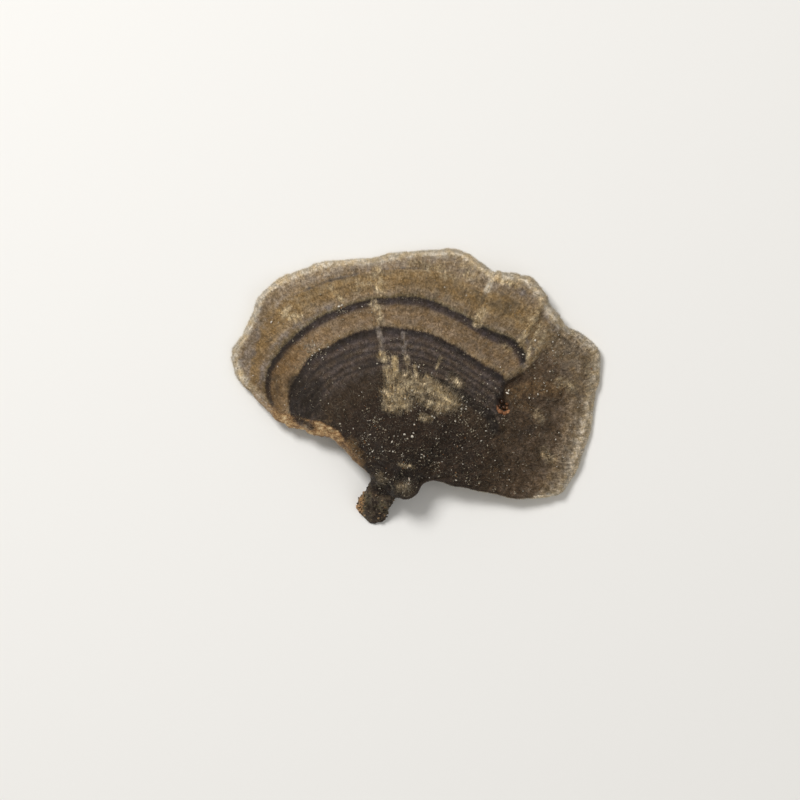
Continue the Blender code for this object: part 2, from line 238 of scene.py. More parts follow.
# Middle line of the stub, from under the knob down to the cut: x, y, height
STUB_LINE = [(-3.9, -18.1, 7.0), (-7.2, -23.1, 4.2), (-9.6, -27.3, 0.0)]
STUB_REACH = 5.2
STUB_TOP = 5.6

# The felt's top stays just above the solid's: where the skin begins to be held down, its most, and the hairs'
SKIN_BEND = 11.45
SKIN_TOP = 11.95
HAIR_TOP = 12.2
HAIR_BOTTOM = 0.05


def smooth_step(low, high, value):
    share = np.clip((value - low) / (high - low), 0, 1)
    return share * share * (3 - 2 * share)


def bell(value, width):
    return np.exp(-((value / width) ** 2))


def lumps(points, size, seed):
    """Smooth random lumps from -1 to 1, about as far apart as size, at each point."""
    place = np.asarray(points, float) / size + 31.7 * seed
    cell = np.floor(place).astype(np.int64)
    share = place - cell
    share = share * share * (3 - 2 * share)
    total = np.zeros(len(place))
    for corner in itertools.product((0, 1), repeat=place.shape[1]):
        weight = np.prod(np.where(corner, share, 1 - share), axis=1)
        key = (cell + corner) @ np.array([73856093, 19349663, 83492791])[: place.shape[1]]
        key = (key ^ (key >> 13)) * 1274126177
        total += weight * (((key ^ (key >> 16)) & 0xFFFF) / 0x8000 - 1)
    return total


def off_line(points, line):
    """Distance of each point from a line through the given points, and the share of the line it lies at."""
    line = np.array(line, float)
    best = np.full(len(points), np.inf)
    along = np.zeros(len(points))
    runs = len(line) - 1
    for i in range(runs):
        run = line[i + 1] - line[i]
        share = np.clip((points - line[i]) @ run / (run @ run), 0, 1)
        gap = np.linalg.norm(points - line[i] - share[:, None] * run, axis=1)
        nearer = gap < best
        best[nearer] = gap[nearer]
        along[nearer] = (i + share[nearer]) / runs
    return best, along


def turn_and_reach(xy):
    """Degrees clockwise from +Y, and distance, of each point as seen from where the bracket grew."""
    offset = np.asarray(xy, float)[:, :2] - ORIGIN
    return np.degrees(np.arctan2(offset[:, 0], offset[:, 1])), np.hypot(offset[:, 0], offset[:, 1])


class GrowthChart:
    """Says for any place on the cap how far it had grown there, and which lobe it belongs to."""

    def __init__(self, rim_points):
        turn, reach = turn_and_reach(rim_points)
        self.degrees = np.arange(RIM_FROM_DEG, RIM_TO_DEG)
        rim = [reach[np.abs(turn - d) < 1.2].max() for d in self.degrees]
        spread = np.array([1, 2, 3, 2, 1]) / 9
        self.rim = np.convolve(np.pad(rim, 2, mode="edge"), spread, mode="valid")
        self.lines = [self.as_reach(line) for line in (INNER_LINE, SECOND_LINE, FIRST_LINE, OUTER_LINE)]
        cleft_turn, cleft_reach = turn_and_reach(CLEFT + [INNER_LINE[-1]])
        self.cleft = cleft_reach[::-1], cleft_turn[::-1]

    def as_reach(self, line):
        turn, reach = turn_and_reach(line)
        fine = np.interp(self.degrees, turn, reach)
        return np.convolve(np.pad(fine, 2, mode="edge"), np.array([1, 2, 3, 2, 1]) / 9, mode="valid")

    def read(self, points):
        """Turn in degrees, reach in mm, growth from 0 to 1, and 1 on the right lobe but 0 on the fan."""
        turn, reach = turn_and_reach(points)
        rim = np.interp(turn, self.degrees, self.rim)
        marks = [np.zeros(len(reach))] + [np.interp(turn, self.degrees, line) for line in self.lines] + [rim]
        growth = np.zeros(len(reach))
        for i in range(len(marks) - 1):
            share = (reach - marks[i]) / np.maximum(marks[i + 1] - marks[i], 0.3)
            inside = share >= 0
            growth[inside] = (LINE_PLACES[i] + (LINE_PLACES[i + 1] - LINE_PLACES[i]) * share)[inside]
        lobe = smooth_step(-0.9, 0.9, turn - np.interp(reach, *self.cleft))
        growth = growth * (1 - lobe) + reach / rim * lobe
        return turn, reach, np.clip(growth, 0, 1.05), lobe


def only(thing):
    """Deselects everything else and makes this object the active one."""
    bpy.ops.object.select_all(action="DESELECT")
    thing.select_set(True)
    bpy.context.view_layer.objects.active = thing


def apply_modifier(thing, kind, **settings):
    only(thing)
    modifier = thing.modifiers.new(kind.lower(), kind)
    for name, value in settings.items():
        setattr(modifier, name, value)
    bpy.ops.object.modifier_apply(modifier=modifier.name)


def vertices_of(mesh, what="co"):
    """Places in millimetres, or normals, of a mesh's vertices."""
    found = np.empty(len(mesh.vertices) * 3, np.float32)
    if what == "normal":
        mesh.vertex_normals.foreach_get("vector", found)
        return found.reshape(-1, 3).astype(float)
    mesh.vertices.foreach_get("co", found)
    return found.reshape(-1, 3).astype(float) / MM


def remeshed_copy(node):
    """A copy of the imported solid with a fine, even mesh, and its plain groove filled, so that it can be shaped."""
    skin = bpy.data.objects.new("bracket_skin", node.data.copy())
    bpy.context.scene.collection.objects.link(skin)
    skin.data.materials.clear()
    only(skin)
    bpy.ops.object.mode_set(mode="EDIT")
    bpy.ops.mesh.select_all(action="SELECT")
    bpy.ops.mesh.remove_doubles(threshold=1e-6)
    bpy.ops.mesh.tris_convert_to_quads()
    bpy.ops.mesh.normals_make_consistent(inside=False)
    bpy.ops.object.mode_set(mode="OBJECT")
    apply_modifier(skin, "SUBSURF", levels=SUBDIVISIONS, render_levels=SUBDIVISIONS)
    apply_modifier(skin, "REMESH", mode="VOXEL", voxel_size=SKIN_VOXEL * MM)
    apply_modifier(skin, "SMOOTH", factor=0.5, iterations=SMOOTHING_PASSES)
    gap, _ = off_line(vertices_of(skin.data)[:, :2], CLEFT)
    weight = smooth_step(GROOVE_REACH, GROOVE_REACH - 1, gap) * (vertices_of(skin.data, "normal")[:, 2] > 0.3)
    group = skin.vertex_groups.new(name="groove")
    for i in np.flatnonzero(weight > 0.01):
        group.add([int(i)], weight[i], "REPLACE")
    apply_modifier(skin, "SMOOTH", factor=0.8, iterations=GROOVE_PASSES, vertex_group="groove")
    skin.vertex_groups.clear()
    skin.data.shade_smooth()
    return skin


def nearest_rim(points, rim):
    """For each point, the distance in plan to the rim and the nearest rim point."""
    tree = kdtree.KDTree(len(rim))
    for i, (x, y) in enumerate(rim[:, :2]):
        tree.insert((x, y, 0), i)
    tree.balance()
    found = [tree.find((x, y, 0)) for x, y in points[:, :2]]
    return np.array([f[2] for f in found]), np.array([f[1] for f in found])


def read_skin(skin):
    """What each vertex of the smooth skin is part of: masks from 0 to 1 and its place on the growth chart."""
    at = vertices_of(skin.data)
    normal = vertices_of(skin.data, "normal")
    stub_gap, _ = off_line(at, STUB_LINE)
    stub = smooth_step(STUB_REACH, STUB_REACH - 0.8, stub_gap) * smooth_step(STUB_TOP, STUB_TOP - 0.8, at[:, 2])
    steep = np.abs(normal[:, 2]) < 0.3
    rim = np.flatnonzero(steep & ((stub_gap > STUB_REACH) | (at[:, 2] > STUB_TOP)))
    edge_gap, edge_point = nearest_rim(at, at[rim])
    chart = GrowthChart(at[rim])
    turn, reach, growth, lobe = chart.read(at)
    cleft_gap, cleft_along = off_line(at[:, :2], CLEFT)
    open_gap, open_along = off_line(at[:, :2], CLEFT_GAP)
    pit_gap, _ = off_line(at[:, :2], PIT)
    ochre_gap, ochre_along = off_line(at[:, :2], OCHRE_EDGE)
    return {
        "at": at,
        "normal": normal,
        "stub": stub,
        "upper": smooth_step(-0.1, 0.35, normal[:, 2]) * (1 - stub),
        "under": smooth_step(0.1, -0.35, normal[:, 2]) * (1 - stub),
        "edge_gap": edge_gap,
        "edge_at": at[rim][edge_point],
        "edge_out": normal[rim][edge_point],
        "turn": turn,
        "spoke": turn * math.radians(1) * 40,
        "reach": reach,
        "growth": growth,
        "lobe": lobe,
        "aside": cleft_gap * np.where(lobe > 0.5, 1, -1),
        "cleft": cleft_along,
        "open_gap": open_gap,
        "open": 1 - open_along,
        "pit_gap": pit_gap,
        "ochre_gap": ochre_gap,
        "ochre_along": ochre_along,
        "ochre_rough": smooth_step(0.24, 0.36, ochre_along) * smooth_step(0.90, 0.80, ochre_along),
    }


def furrows(s):
    """Growth furrows and rounded bands between them, as height in mm over the smooth cap."""
    fan = 1 - s["lobe"]
    wander = 0.007 * lumps(np.column_stack([s["spoke"], s["reach"]]), 3.0, 1)
    growth = s["growth"] + wander
    height = -0.24 * bell(growth - 0.787, 0.013) * fan
    height += 0.12 * bell(growth - 0.812, 0.012) * fan
    height -= 0.20 * bell(growth - 0.652, 0.012) * fan
    height += 0.13 * bell(growth - 0.676, 0.013) * fan
    height += 0.10 * bell(growth - 0.730, 0.030) * fan
    height -= 0.10 * bell(growth - 0.930, 0.008) * fan
    slate = smooth_step(0.47, 0.50, growth) * smooth_step(0.66, 0.64, growth) * fan
    height += 0.06 * np.sin(growth * 2 * math.pi / 0.034) * slate
    outer = smooth_step(0.81, 0.84, growth) * smooth_step(1.0, 0.97, growth)
    height += 0.07 * np.sin(growth * 2 * math.pi / 0.045) * outer * (0.5 + 0.5 * fan)
    lobe_bands = smooth_step(0.6, 0.7, growth) * s["lobe"]
    height += 0.10 * np.sin(growth * 2 * math.pi / 0.085) * lobe_bands
    inner_gap, _ = off_line(s["at"][:, :2], INNER_LINE[6:])
    return height - 0.22 * bell(inner_gap, 0.7)


def wrinkles(s):
    """Radial wrinkles, felt lumps and the knob's lumps on the upper face, in mm."""
    flow = np.column_stack([s["spoke"], s["reach"] / 4])
    near_base = bell(s["reach"], 14)
    height = (0.24 * lumps(flow, 3.4, 2) + 0.13 * lumps(flow, 1.5, 3)) * (1 - 0.6 * near_base)
    height += 0.22 * lumps(s["at"][:, :2], 7.0, 17) + 0.10 * lumps(s["at"], 2.4, 18)
    height += 0.07 * lumps(s["at"], 1.3, 4) + 0.05 * lumps(s["at"], 0.75, 5)
    height += near_base * (0.32 * lumps(s["at"], 2.6, 6) + 0.20 * lumps(s["at"], 1.1, 7))
    striped = np.column_stack([s["spoke"], s["reach"] / 9])
    height += 0.05 * lumps(striped, 0.8, 19) * bell(s["edge_gap"], 3.0) * s["lobe"]
    for x, y, radius, rise in KNOB_LUMPS:
        height += rise * bell(np.hypot(s["at"][:, 0] - x, s["at"][:, 1] - y), radius)
    return height


def side_of(places, line):
    """Distance of each place from a line, in mm, below 0 on the line's right as it runs."""
    gap, _ = off_line(places, line)
    line = np.array(line)
    run = line[-1] - line[0]
    offset = places - line[0]
    return gap * np.sign(run[0] * offset[:, 1] - run[1] * offset[:, 0])


def cleft_shape(s):
    """The fan's lip over the lobe, the gap at the cleft's end, the pit, and the blister beside them, in mm."""
    place = s["at"][:, :2]
    depth = 0.25 + 0.75 * s["cleft"]
    lip = 0.30 * depth * smooth_step(0.5, -0.5, s["aside"]) * bell(np.minimum(s["aside"], 0), 2.6)
    below = -0.24 * depth * bell(s["aside"] - 0.6, 0.8)
    shut = smooth_step(8, 6, np.abs(s["aside"]))
    gap = -0.85 * s["open"] ** 0.7 * bell(s["open_gap"], 0.85)
    pit = -PIT_DEPTH * np.exp(-((s["pit_gap"] / PIT_RADIUS) ** 6))
    collar = 0.25 * bell(s["pit_gap"] - 2.3, 0.6)
    ridge_gap, _ = off_line(place, RIDGE)
    ridge = 0.50 * bell(ridge_gap, 0.7) - 0.16 * bell(ridge_gap - 1.8, 1.0) * (s["aside"] > -6)
    flank = side_of(place, FLANK)
    swell = 0.95 * smooth_step(-0.45, 0.45, flank) * bell(np.maximum(flank - 0.6, 0), 4.2)
    swell -= 0.40 * bell(flank + 1.1, 0.9)
    flank_gap, flank_along = off_line(place, FLANK)
    swell *= smooth_step(7.5, 4.5, flank_gap) * smooth_step(1.0, 0.85, flank_along)
    return (lip + below) * shut + np.minimum(gap, pit) + collar + ridge + swell


def shape_skin(skin):
    """Moves the smooth skin's vertices to the bracket's real relief. Returns what each vertex is part of."""
    s = read_skin(skin)
    at, normal = s["at"], s["normal"]

    scallop = 0.42 * lumps(s["edge_at"], 3.4, 8) + 0.20 * lumps(s["edge_at"], 1.1, 9)
    scallop *= 1 - 0.45 * s["lobe"]
    torn = s["ochre_rough"] * bell(s["ochre_gap"], 1.8)
    scallop += torn * 0.35 * lumps(s["edge_at"], 0.9, 10)
    outward = s["edge_out"] * (1, 1, 0)
    lip = np.interp(s["ochre_along"], np.linspace(0, 1, len(OCHRE_LIP)), OCHRE_LIP) * bell(s["ochre_gap"], 3.5)
    lip *= smooth_step(0.75, -0.3, normal[:, 2])
    move = outward * ((scallop * bell(s["edge_gap"], 1.1) + lip * bell(s["edge_gap"], 1.8)) * (1 - s["stub"]))[:, None]

    height = furrows(s) + wrinkles(s) + cleft_shape(s)
    flaked = at * (0.45, 1.0, 1.0)
    height += torn * (0.34 * lumps(flaked, 0.9, 11) + 0.26 * lumps(flaked, 0.55, 12))
    height *= s["upper"] * smooth_step(0.0, 0.9, s["edge_gap"] + 0.35)
    ribs = 0.09 * lumps(np.column_stack([s["spoke"], s["reach"] / 4]), 2.8, 13)
    height += s["under"] * smooth_step(0.0, 1.5, s["edge_gap"]) * ribs
    move += normal * height[:, None]

    crust = 0.55 * lumps(at, 2.4, 14) + 0.34 * lumps(at, 1.1, 15) + 0.18 * lumps(at, 0.7, 16)
    move += normal * (1, 1, 0.4) * (crust * s["stub"] * smooth_step(0.05, 0.9, at[:, 2]))[:, None]

    shaped = at + move
    room = SKIN_TOP - SKIN_BEND
    above = np.maximum(shaped[:, 2] - SKIN_BEND, 0)
    shaped[:, 2] = np.clip(shaped[:, 2] - above + room * (1 - np.exp(-above / room)), 0, SKIN_TOP)
    skin.data.vertices.foreach_set("co", (shaped * MM).astype(np.float32).ravel())
    skin.data.update()
    s["at"] = shaped
    s["normal"] = vertices_of(skin.data, "normal")
    return s


def marked(places, marks):
    """How strongly the list of marks colours each place, fading to the sides of each mark's line."""
    found = np.zeros(len(places))
    for half_width, strength, line in marks:
        gap, _ = off_line(places[:, :2], line)
        found = np.maximum(found, strength * smooth_step(1.5, 0.1, gap / half_width))
    return found


# The pale rim: turn in degrees, its width in mm and its strength there
RIM_TURNS = [-61, -50, -20, 10, 22, 30, 42, 47, 52, 75, 93]
RIM_WIDTHS = [2.1, 2.1, 2.1, 2.6, 2.2, 3.0, 3.1, 1.8, 2.2, 5.0, 2.6]
RIM_STRENGTHS = [1.00, 0.96, 0.86, 0.92, 0.96, 1.0, 1.0, 0.8, 0.72, 0.54, 0.43]


def surface_facts(s):
    """The numbers that the materials read at each vertex, three to a name."""
    at, upper = s["at"], s["upper"]
    ochre = smooth_step(1.5, 0.3, s["ochre_gap"] / 0.85) * (0.6 + 0.4 * s["ochre_rough"])
    ochre *= smooth_step(6.0, 11.0, s["reach"])
    ochre *= 1 - marked(at, OCHRE_DULLED)
    beside = bell(s["ochre_gap"], 2.4) * (1 - s["stub"])
    lower_lip = smooth_step(0.5, 0.1, s["normal"][:, 2]) * smooth_step(-0.75, -0.35, s["normal"][:, 2])
    ochre = np.maximum(ochre, 0.72 * beside * lower_lip)
    # Painted shade in the cracks of the rough ochre edge: darker where the top turns down to the side, and along a
    # wandering split beside the edge line.
    crack_shade = 0.6 * (4 * upper * (1 - upper)) ** 2 * beside * s["ochre_rough"]
    flaked = lumps(at * (0.4, 1.0, 1.0), 1.3, 36)
    split_shade = bell(s["ochre_gap"] - 0.5 - 0.4 * flaked, 0.3) * smooth_step(-0.3, 0.3, lumps(at, 1.6, 37))
    crack_shade = np.maximum(crack_shade, 0.8 * split_shade * s["ochre_rough"])
    rim_width = np.interp(s["turn"], RIM_TURNS, RIM_WIDTHS)
    rim = smooth_step(1.1, 0.1, s["edge_gap"] / rim_width) * np.interp(s["turn"], RIM_TURNS, RIM_STRENGTHS)
    rim *= smooth_step(0.72, 0.9, s["growth"]) * (1 - 0.5 * bell(s["ochre_gap"], 1.6))
    fold, _ = off_line(at[:, :2], FLANK[:4])
    rim = np.maximum(rim, 0.95 * bell(fold, 0.65))
    band_width = 1.5 + 2.4 * smooth_step(41, 46, s["reach"])
    band = smooth_step(1.2, 0.5, -s["aside"] / band_width) * smooth_step(0.3, -0.1, s["aside"])
    band *= smooth_step(31.5, 34, s["reach"])
    # Painted shadow: brown darkening in the cleft's open gap and inside the pit, where shade falls into the recesses.
    shade = 0.70 * bell(s["open_gap"], 1.0) * s["open"] ** 0.5
    shade = np.maximum(shade, 0.62 * np.exp(-((s["pit_gap"] / 1.55) ** 6)))
    shade = np.maximum(shade * upper, crack_shade)
    dirt = bell(s["reach"] - 8, 16) + 0.5 * s["lobe"]
    return {
        "spot": at,
        "chart": np.column_stack([s["spoke"], s["reach"], s["growth"]]),
        "parts": np.column_stack([upper, s["lobe"], s["stub"]]),
        "coats": np.column_stack([rim, band, marked(at, OCHRE_MARKS)]),
        "marks": np.column_stack([marked(at, PALE_MARKS), marked(at, GREY_MARKS), marked(at, DARK_MARKS)]),
        # The third number of this triple is the painted shade of the cleft, the pit and the ochre edge's cracks; the
        # first two are ochre flesh and real dirt.
        "wear_and_shade": np.column_stack([ochre, dirt, shade]),
        "edge": np.column_stack([s["edge_gap"], s["under"], s["ochre_rough"]]),
    }


def store(mesh, facts):
    for name, values in facts.items():
        layer = mesh.attributes.new(name, "FLOAT_VECTOR", "POINT")
        layer.data.foreach_set("vector", values.astype(np.float32).ravel())


def mesh_of(name, places, faces):
    """A new object from vertex places in millimetres and triangles."""
    mesh = bpy.data.meshes.new(name)
    mesh.vertices.add(len(places))
    mesh.vertices.foreach_set("co", (places * MM).astype(np.float32).ravel())
    mesh.loops.add(faces.size)
    mesh.loops.foreach_set("vertex_index", faces.astype(np.int32).ravel())
    mesh.polygons.add(len(faces))
    mesh.polygons.foreach_set("loop_start", np.arange(0, faces.size, 3, dtype=np.int32))
    mesh.update(calc_edges=True)
    mesh.shade_smooth()
    thing = bpy.data.objects.new(name, mesh)
    bpy.context.scene.collection.objects.link(thing)
    return thing


class Ground:
    """Picks random places on the skin, with what the skin says there."""

    def __init__(self, skin, s, facts):
        mesh = skin.data
        mesh.calc_loop_triangles()
        corners = np.empty(len(mesh.loop_triangles) * 3, np.int32)
        mesh.loop_triangles.foreach_get("vertices", corners)
        self.corners = corners.reshape(-1, 3)
        self.s, self.facts = s, facts
        a, b, c = (s["at"][self.corners[:, k]] for k in range(3))
        self.area = np.linalg.norm(np.cross(b - a, c - a), axis=1) / 2

    def mean(self, values):
        return values[self.corners].mean(axis=1)

    def pick(self, count, density, rng):
        """Places, normals and facts at count random spots, thicker where density per triangle is higher."""
        chance = np.cumsum(self.area * density)
        face = np.searchsorted(chance, rng.random(count) * chance[-1])
        first, second = rng.random(count), rng.random(count)
        flip = first + second > 1
        first[flip], second[flip] = 1 - first[flip], 1 - second[flip]
        share = np.column_stack([1 - first - second, first, second])
        corners = self.corners[face]

        def blend(values):
            return np.einsum("nk,nk...->n...", share, values[corners])

        return blend(self.s["at"]), unit(blend(self.s["normal"])), {name: blend(v) for name, v in self.facts.items()}


    def under(self, places):
        """The upper face's vertex at each listed x and y."""
        at = self.s["at"]
        tree = kdtree.KDTree(len(at))
        for i, (x, y, z) in enumerate(at):
            tree.insert((x, y, -z * 0.2), i)
        tree.balance()
        return [tree.find((place[0], place[1], -2.0))[1] for place in places]


def unit(vectors):
    return vectors / np.maximum(np.linalg.norm(vectors, axis=1), 1e-9)[:, None]


def strands(name, joints, radius, facts, rng):
    """Three-sided hairs through their joints, tapering to a point, each with its own cell of the map."""
    count, steps = joints.shape[:2]
    joints[:, :, 2] = np.clip(joints[:, :, 2], HAIR_BOTTOM, HAIR_TOP)
    way = unit(joints[:, -1] - joints[:, 0])
    side = unit(np.cross(way, rng.normal(size=way.shape)))
    other = np.cross(way, side)
    ring = steps - 1
    places = np.empty((count, ring * 3 + 1, 3))
    for j in range(ring):
        thickness = (radius * (1 - 0.6 * j / ring))[:, None]
        for k in range(3):
            angle = 2 * math.pi * k / 3
            places[:, j * 3 + k] = joints[:, j] + thickness * (math.cos(angle) * side + math.sin(angle) * other)
    places[:, -1] = joints[:, -1]
    faces = [(0, 2, 1)]
    for j in range(0, ring * 3 - 3, 3):
        for k, after in ((0, 1), (1, 2), (2, 0)):
            faces += [(j + k, j + after, j + 3 + after), (j + k, j + 3 + after, j + 3 + k)]
    last = ring * 3 - 3
    faces += [(last, last + 1, last + 3), (last + 1, last + 2, last + 3), (last + 2, last, last + 3)]
    faces = (np.arange(count)[:, None, None] * (ring * 3 + 1) + np.array(faces)).reshape(-1, 3)
    thing = mesh_of(name, places.reshape(-1, 3), faces)

    per = ring * 3 + 1
    strand = np.zeros((count, per, 3))
    strand[:, :, 0] = rng.random(count)[:, None]
    strand[:, :, 1] = np.append(np.repeat(np.arange(ring) / ring, 3), 1)
    store(thing.data, {key: np.repeat(values, per, axis=0) for key, values in facts.items()})
    store(thing.data, {"strand": strand.reshape(-1, 3)})
    across = math.ceil(math.sqrt(count))
    cell = np.arange(count)
    corner = np.column_stack([cell % across, cell // across])[:, None]
    inside = [(0.1 + 0.4 * k, 0.1 + 0.7 * j / ring + 0.15 * (k == 2)) for j in range(ring) for k in range(3)]
    uv = (corner + np.array(inside + [(0.5, 0.95)])) / across
    layer = thing.data.uv_layers.new(name="OFBake")
    layer.uv.foreach_set("vector", uv.reshape(-1, 2)[faces.ravel()].astype(np.float32).ravel())
    return thing


def along_skin(roots, normal, angle):
    """Directions that lie on the skin, turned by an angle from the way the bracket grew."""
    outward = unit(roots[:, :2] - ORIGIN)
    cos, sin = np.cos(angle), np.sin(angle)
    turned = np.column_stack([
        outward[:, 0] * cos - outward[:, 1] * sin, outward[:, 0] * sin + outward[:, 1] * cos, np.zeros(len(roots)),
    ])
    return unit(turned - normal * np.sum(turned * normal, axis=1)[:, None])


# The nap: part of the growth that each piece covers, hairs, length in mm and the mean lift off the skin
NAP = [
    ("nap_margin", 0.80, 1.10, 46000, 0.60, 24),
    ("nap_bands", 0.64, 0.80, 36000, 0.50, 24),
    ("nap_slate", 0.42, 0.64, 38000, 0.42, 22),
    ("nap_base", -0.1, 0.42, 26000, 0.38, 32),
]
HAIR_RADIUS = 0.026


def make_nap(ground, rng):
    """Short hairs that lie outwards, in swirls, and gather in small tufts."""
    growth = ground.mean(ground.s["growth"])
    upper = ground.mean(ground.s["upper"])
    tufted = 0.55 + 0.45 * lumps(ground.mean(ground.s["at"]), 0.55, 30)
    out_of_pit = smooth_step(1.1, 1.9, ground.mean(ground.s["pit_gap"]))
    made = []
    for name, low, high, count, length, lift in NAP:
        density = upper**2 * ((growth >= low) & (growth < high)) * tufted * out_of_pit
        roots, normal, facts = ground.pick(count, density, rng)
        swirl = 0.6 * lumps(roots, 2.2, 31) + 0.6 * lumps(roots, 0.7, 32) + 0.25 * rng.normal(size=count)
        lifted = np.radians(np.clip(rng.normal(lift, 12, count), 5, 75))[:, None]
        way = along_skin(roots, normal, swirl) * np.cos(lifted) + normal * np.sin(lifted)
        size = length * rng.uniform(0.5, 1.3, count) * (1 + 0.3 * facts["marks"][:, 0])
        start = roots - normal * 0.03
        joints = np.stack([start, start + way * size[:, None]], axis=1)
        made.append(strands(name, joints, HAIR_RADIUS * rng.uniform(0.6, 1.4, count), facts, rng))
    return made


RIM_HAIRS = 24000
RIM_HAIR_LENGTH = 0.55


def make_rim_fringe(ground, rng):
    """The pale fuzz of the growing edge: hairs that stand out from the rim, upwards and over it."""
    edge_gap = ground.mean(ground.s["edge_gap"])
    tilt = ground.mean(ground.s["normal"][:, 2])
    growing = ground.mean(ground.facts["coats"][:, 0])
    density = (edge_gap < 0.9) * smooth_step(-0.5, 0.0, tilt) * (0.15 + growing)
    density = density * (1 - ground.mean(ground.s["stub"])) * (1.1 + lumps(ground.mean(ground.s["at"]), 0.8, 33))
    roots, normal, facts = ground.pick(RIM_HAIRS, density, rng)
    outward = unit(np.column_stack([roots[:, :2] - ORIGIN, np.zeros(len(roots))]))
    way = unit(normal + 0.6 * outward + 0.5 * rng.normal(size=roots.shape))
    size = RIM_HAIR_LENGTH * rng.uniform(0.3, 1.2, len(roots)) * (0.45 + 0.55 * facts["coats"][:, 0])
    start = roots - normal * 0.03
    joints = np.stack([start, start + way * size[:, None]], axis=1)
    return strands("rim_fringe", joints, HAIR_RADIUS * rng.uniform(0.6, 1.2, len(roots)), facts, rng)


LOOSE_FIBRES = 7200
FIBRE_JOINTS = 5


def make_loose_fibres(ground, rng):
    """Longer pale fibres that lie curled over the nap, thickest on the cream tufts and round the base."""
    marks = ground.facts["marks"]
    density = ground.mean(ground.s["upper"]) ** 3 * (0.13 + ground.mean(marks[:, 0]) * 1.8)
    density = density * (0.35 + ground.mean(ground.facts["wear_and_shade"][:, 1])) * (ground.mean(ground.s["edge_gap"]) > 0.8)
    roots, normal, facts = ground.pick(LOOSE_FIBRES, density, rng)
    angle = 1.1 * rng.normal(size=len(roots))
    bend = rng.normal(0, 1.5, len(roots))
    size = rng.uniform(0.45, 1.25, len(roots))[:, None] / (FIBRE_JOINTS - 1)
    point = roots + normal * 0.05
    joints = [point]
    for rise in (0.5, 0.2, -0.05, -0.25):
        point = point + unit(along_skin(roots, normal, angle) + rise * normal) * size
        joints.append(point)
        angle = angle + bend / (FIBRE_JOINTS - 1)
    return strands("loose_fibres", np.stack(joints, axis=1), rng.uniform(0.022, 0.045, len(roots)), facts, rng)


def modelled_grain(seed, fineness=1, uneven=0.5, flat=0.5):
    """One angular grain: a small faceted ball, knocked out of round and flattened."""
    bpy.ops.object.select_all(action="DESELECT")
    bpy.ops.mesh.primitive_ico_sphere_add(subdivisions=fineness, radius=1.0, location=(0, 0, 0))
    grain = bpy.context.object
    bpy.ops.object.mode_set(mode="EDIT")
    bpy.ops.mesh.select_all(action="SELECT")
    bpy.ops.transform.vertex_random(offset=uneven, uniform=0.2, normal=0.3, seed=seed)
    bpy.ops.transform.resize(value=(1.15, 0.9, flat))
    bpy.ops.mesh.normals_make_consistent(inside=False)
    bpy.ops.object.mode_set(mode="OBJECT")
    places = vertices_of(grain.data) * MM
    corners = np.array([tuple(p.vertices) for p in grain.data.polygons])
    bpy.data.objects.remove(grain)
    return places, corners


def scattered(name, shapes, spots, sizes, facts, rng, own=None):
    """Copies of the modelled grains at the spots, turned every way, as one mesh."""
    places, faces, start = [], [], 0
    for i, (spot, size) in enumerate(zip(spots, sizes)):
        shape, corners = shapes[i % len(shapes)]
        turn, _ = np.linalg.qr(rng.normal(size=(3, 3)))
        turn *= np.sign(np.linalg.det(turn))
        grain = shape @ turn.T * size + spot
        grain[:, 2] -= max(grain[:, 2].max() - HAIR_TOP, 0)
        places.append(grain)
        faces.append(corners + start)
        start += len(shape)
    thing = mesh_of(name, np.concatenate(places), np.concatenate(faces))
    counts = [len(p) for p in places]
    store(thing.data, {key: np.repeat(values, counts, axis=0) for key, values in facts.items()})
    strand = rng.random((len(spots), 3))
    if own is not None:
        strand[-len(own):, 0] = own
    store(thing.data, {"strand": np.repeat(strand, counts, axis=0)})
    return thing


# Single large grains on the cap: x, y, half size, place in the dust's colours
LARGE_GRAINS = [
    (-17.0, 17.4, 0.36, 0.90), (-16.4, 17.9, 0.26, 0.85), (-32.5, 14.2, 0.30, 0.92), (-2.3, -12.7, 0.36, 0.90),
    (-1.5, -12.3, 0.30, 0.84), (-0.7, -13.3, 0.34, 0.88), (-1.7, -13.5, 0.26, 0.80), (20.5, -2.8, 0.36, 0.90),
    (20.8, -2.3, 0.26, 0.88), (17.5, 25.1, 0.26, 0.80), (6.5, 22.0, 0.18, 0.90), (26.9, 9.6, 0.24, 0.92),
    (25.4, -3.6, 0.28, 0.92), (27.3, -2.6, 0.22, 0.90), (29.4, -1.6, 0.18, 0.85), (-0.4, -12.3, 0.22, 0.90),
    (-5.2, -14.2, 0.26, 0.86), (-10.2, -12.4, 0.22, 0.88), (-21.6, 7.6, 0.26, 0.90), (-23.2, 6.2, 0.20, 0.88),
    (-20.8, 5.6, 0.20, 0.90), (-22.6, 8.4, 0.18, 0.86), (14.6, -13.6, 0.20, 0.90), (8.8, -9.6, 0.22, 0.88),
    (31.4, -12.6, 0.24, 0.92), (24.2, 6.2, 0.24, 0.90), (-31.0, 4.0, 0.18, 0.86), (-36.6, 2.2, 0.16, 0.88),
]
# Drifts of smaller ones: x, y, radius, thickness
DUST_DRIFTS = [
    (-22.4, 6.6, 2.4, 2.6), (-1.4, -13.4, 2.0, 2.6), (-16.6, 17.2, 1.2, 2.0), (-9.0, -14.0, 3.4, 1.2),
    (28.5, 3.6, 4.2, 0.7), (32.0, 9.0, 3.6, 0.8), (-20.4, -3.6, 1.8, 0.3), (12.0, -8.0, 4.0, 0.8),
    (-1.6, -24.0, 1.5, 2.4), (-7.0, -22.2, 1.2, 1.6), (-10.0, -9.4, 2.2, 1.0), (3.0, -14.0, 2.6, 0.8),
]
DUST_GRAINS = 3800


